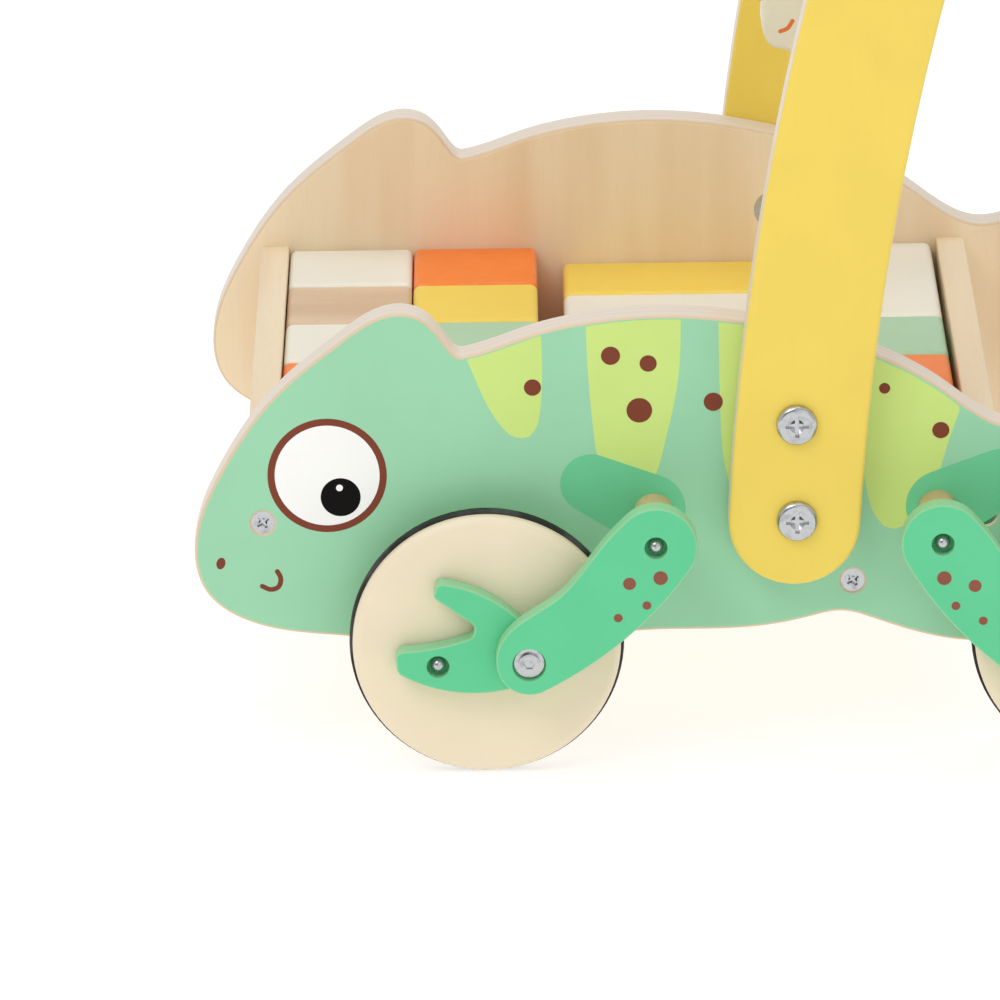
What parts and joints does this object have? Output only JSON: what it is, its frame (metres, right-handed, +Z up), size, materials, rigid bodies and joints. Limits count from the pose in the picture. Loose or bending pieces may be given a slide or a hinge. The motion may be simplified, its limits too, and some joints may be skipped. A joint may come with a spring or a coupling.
{
  "type": "baby walker",
  "caption": "Wooden push-along walker shaped like a lizard, with a tray of building blocks, swinging legs on the wheels and a high bar to hold.",
  "frame": {"origin": "on the floor, at the middle of the bounding box, midway between the two axles", "axes": "+X towards the tail and the person who pushes, +Y to the right side, +Z up"},
  "size_m": [0.3673, 0.2938, 0.4451],
  "materials": {
    "panel_ply": "satin painted plywood",
    "board_ply": "sanded birch plywood",
    "arm_ply": "satin painted plywood",
    "turned_wood": "sanded beech",
    "spacer_wood": "sanded beech",
    "wheel_ply": "satin painted plywood",
    "tyre": "matte rubber",
    "steel": "bright steel",
    "nylon": "moulded nylon",
    "ring": "matte silicone",
    "brass": "turned brass",
    "limb_ply": "satin painted plywood",
    "zinc": "bright zinc plate",
    "bird_paint": "satin painted plywood",
    "block_white": "satin painted wood",
    "block_natural": "sanded beech",
    "block_orange": "satin painted wood",
    "block_yellow": "satin painted wood",
    "block_mint": "satin painted wood"
  },
  "bodies": {
    "chassis": {"side_panel_left": "panel_ply", "side_panel_right": "panel_ply", "front_board": "board_ply", "rear_board": "board_ply", "floor_board": "board_ply", "handle_arm_left": "arm_ply", "handle_arm_right": "arm_ply", "handle_bar": "turned_wood", "bar_screws": "zinc", "arm_bolts": "zinc", "arm_sleeve_nuts": "zinc", "board_screws": "zinc", "shoulder_spacers": "spacer_wood", "shoulder_pins": "zinc", "axle_bushes": "nylon", "bird_rod": "turned_wood", "bird_rings": "ring"},
    "front_wheels": {"front_axle": "steel", "front_wheel_left": "wheel_ply", "front_wheel_right": "wheel_ply", "front_tyres": "tyre", "front_crank_inserts": "brass"},
    "rear_wheels": {"rear_axle": "steel", "rear_wheel_left": "wheel_ply", "rear_wheel_right": "wheel_ply", "rear_tyres": "tyre", "rear_crank_inserts": "brass"},
    "spinning_bird": {"bird": "bird_paint", "bird_beak": "block_orange"},
    "front_left_leg": {"front_leg_left": "limb_ply", "front_knee_bolt_left": "zinc"},
    "front_left_foot": {"front_foot_left": "limb_ply", "front_crank_pin_left": "zinc"},
    "front_right_leg": {"front_leg_right": "limb_ply", "front_knee_bolt_right": "zinc"},
    "front_right_foot": {"front_foot_right": "limb_ply", "front_crank_pin_right": "zinc"},
    "rear_left_leg": {"rear_leg_left": "limb_ply", "rear_knee_bolt_left": "zinc"},
    "rear_left_foot": {"rear_foot_left": "limb_ply", "rear_crank_pin_left": "zinc"},
    "rear_right_leg": {"rear_leg_right": "limb_ply", "rear_knee_bolt_right": "zinc"},
    "rear_right_foot": {"rear_foot_right": "limb_ply", "rear_crank_pin_right": "zinc"},
    "nose_blocks": {"nose_block_natural": "block_natural", "nose_block_orange": "block_orange", "nose_block_white": "block_white", "nose_block_yellow": "block_yellow"},
    "neck_blocks": {"neck_block_mint": "block_mint", "neck_block_natural": "block_natural", "neck_block_orange": "block_orange", "neck_block_white": "block_white", "neck_block_yellow": "block_yellow"},
    "long_bricks": {"long_brick_white": "block_white", "long_brick_yellow": "block_yellow"},
    "tail_blocks": {"tail_block_mint": "block_mint", "tail_block_natural": "block_natural", "tail_block_orange": "block_orange", "tail_brick_white": "block_white"}
  },
  "joints": [
    {"name": "front_wheels_roll", "type": "hinge", "parent": "chassis", "child": "front_wheels", "pos_m": [-0.0948, 0, 0.0419], "axis": [0, -1, 0], "continuous": true},
    {"name": "rear_wheels_roll", "type": "hinge", "parent": "chassis", "child": "rear_wheels", "pos_m": [0.0948, 0, 0.0419], "axis": [0, -1, 0], "continuous": true},
    {"name": "bird_spin", "type": "hinge", "parent": "chassis", "child": "spinning_bird", "pos_m": [0.01753, 0, 0.214], "axis": [0, -1, 0], "continuous": true},
    {"name": "front_left_leg_swing", "type": "hinge", "parent": "chassis", "child": "front_left_leg", "pos_m": [-0.0433, -0.14355, 0.0773], "axis": [0, -1, 0], "range_deg": [0, 33.5]},
    {"name": "front_left_foot_fold", "type": "hinge", "parent": "front_left_leg", "child": "front_left_foot", "pos_m": [-0.082, -0.14355, 0.0404], "axis": [0, -1, 0], "range_deg": [-62.14, 0.5]},
    {"name": "front_right_leg_swing", "type": "hinge", "parent": "chassis", "child": "front_right_leg", "pos_m": [-0.0433, 0.14355, 0.0773], "axis": [0, -1, 0], "range_deg": [0, 33.5]},
    {"name": "front_right_foot_fold", "type": "hinge", "parent": "front_right_leg", "child": "front_right_foot", "pos_m": [-0.082, 0.14355, 0.0404], "axis": [0, -1, 0], "range_deg": [-62.14, 0.5]},
    {"name": "rear_left_leg_swing", "type": "hinge", "parent": "chassis", "child": "rear_left_leg", "pos_m": [0.0433, -0.14355, 0.0773], "axis": [0, 1, 0], "range_deg": [-5, 28.5]},
    {"name": "rear_left_foot_fold", "type": "hinge", "parent": "rear_left_leg", "child": "rear_left_foot", "pos_m": [0.07864, -0.14355, 0.03717], "axis": [0, 1, 0], "range_deg": [-52.94, 9.7]},
    {"name": "rear_right_leg_swing", "type": "hinge", "parent": "chassis", "child": "rear_right_leg", "pos_m": [0.0433, 0.14355, 0.0773], "axis": [0, 1, 0], "range_deg": [-5, 28.5]},
    {"name": "rear_right_foot_fold", "type": "hinge", "parent": "rear_right_leg", "child": "rear_right_foot", "pos_m": [0.07864, 0.14355, 0.03717], "axis": [0, 1, 0], "range_deg": [-52.94, 9.7]},
    {"name": "nose_blocks_lift", "type": "slide", "parent": "chassis", "child": "nose_blocks", "axis": [0, 0, 1], "range_m": [0, 0.06]},
    {"name": "neck_blocks_lift", "type": "slide", "parent": "chassis", "child": "neck_blocks", "axis": [0, 0, 1], "range_m": [0, 0.06]},
    {"name": "long_bricks_lift", "type": "slide", "parent": "chassis", "child": "long_bricks", "axis": [0, 0, 1], "range_m": [0, 0.06]},
    {"name": "tail_blocks_lift", "type": "slide", "parent": "chassis", "child": "tail_blocks", "axis": [0, 0, 1], "range_m": [0, 0.06]}
  ],
  "couplings": [
    {"joint": "front_left_foot_fold", "follows": "front_left_leg_swing", "ratio": -1.84},
    {"joint": "front_right_foot_fold", "follows": "front_right_leg_swing", "ratio": -1.84},
    {"joint": "rear_left_foot_fold", "follows": "rear_left_leg_swing", "ratio": -1.84},
    {"joint": "rear_right_foot_fold", "follows": "rear_right_leg_swing", "ratio": -1.84}
  ]
}
